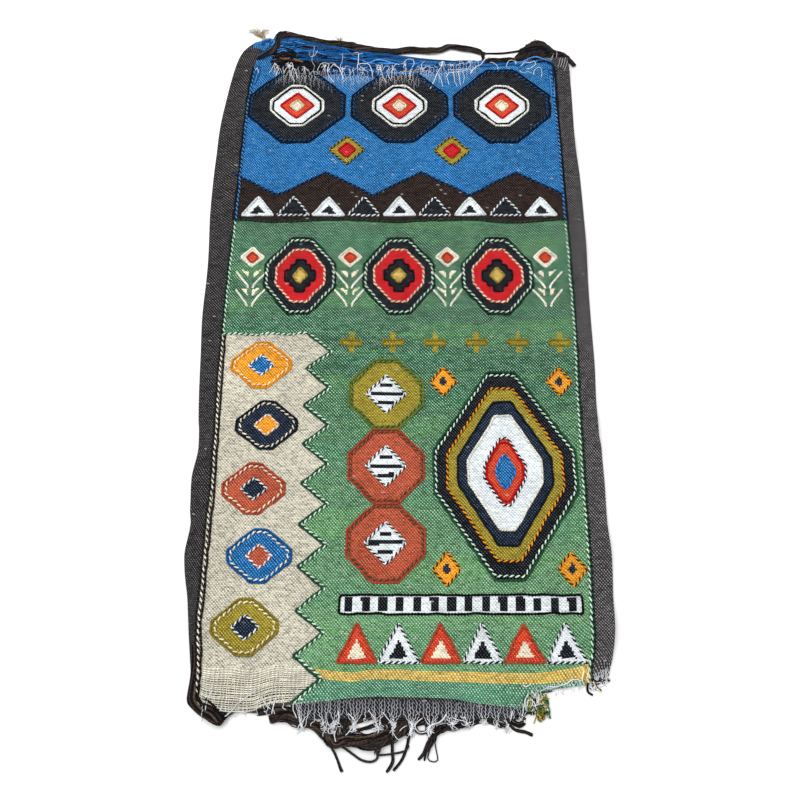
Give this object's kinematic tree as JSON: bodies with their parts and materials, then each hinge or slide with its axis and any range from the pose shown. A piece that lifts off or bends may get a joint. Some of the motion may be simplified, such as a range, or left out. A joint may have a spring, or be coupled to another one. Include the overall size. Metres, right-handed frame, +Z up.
{
  "type": "hand-woven wool tapestry",
  "caption": "Flat rectangular hand-woven wool tapestry lying face up, with loose weft yarns and cut warp ends along its two short edges.",
  "frame": {"origin": "on the surface it lies on, under the middle of the whole outline, loose yarns included", "axes": "+Z up out of the tapestry's face, +Y along its length towards the top of the design, +X to the right as seen from its foot"},
  "size_m": [0.6383, 1.263, 0.0133],
  "materials": {
    "wool_weave": "dense weft-faced wool weave, matt, fields of green, blue, brown and cream inside charcoal borders",
    "warp_ends": "cut ends of cream two-ply warp yarn",
    "blue_yarn": "loose single-ply wool yarn, matt",
    "brown_yarn": "loose single-ply wool yarn, matt",
    "black_yarn": "loose single-ply wool yarn, matt",
    "charcoal_yarn": "loose single-ply wool yarn, matt",
    "tan_fibre": "frizzy unspun wool fibre, matt",
    "gold_yarn": "loose ends of olive gold and green wool yarn, matt"
  },
  "bodies": {
    "root": {"woven_cloth": "wool_weave", "top_warp_ends": "warp_ends", "lower_left_warp_ends": "warp_ends", "bottom_warp_ends": "warp_ends", "bottom_right_warp_ends": "warp_ends", "torn_step_ends": "warp_ends", "border_ends": "warp_ends", "top_blue_wefts": "blue_yarn", "top_slack_wefts": "black_yarn", "top_brown_hank": "brown_yarn", "top_brown_block": "brown_yarn", "right_corner_hank": "brown_yarn", "bottom_yarn_bundle": "charcoal_yarn", "bottom_right_bundle": "charcoal_yarn", "torn_corner_rag": "gold_yarn", "corner_tuft": "tan_fibre"}
  },
  "joints": []
}
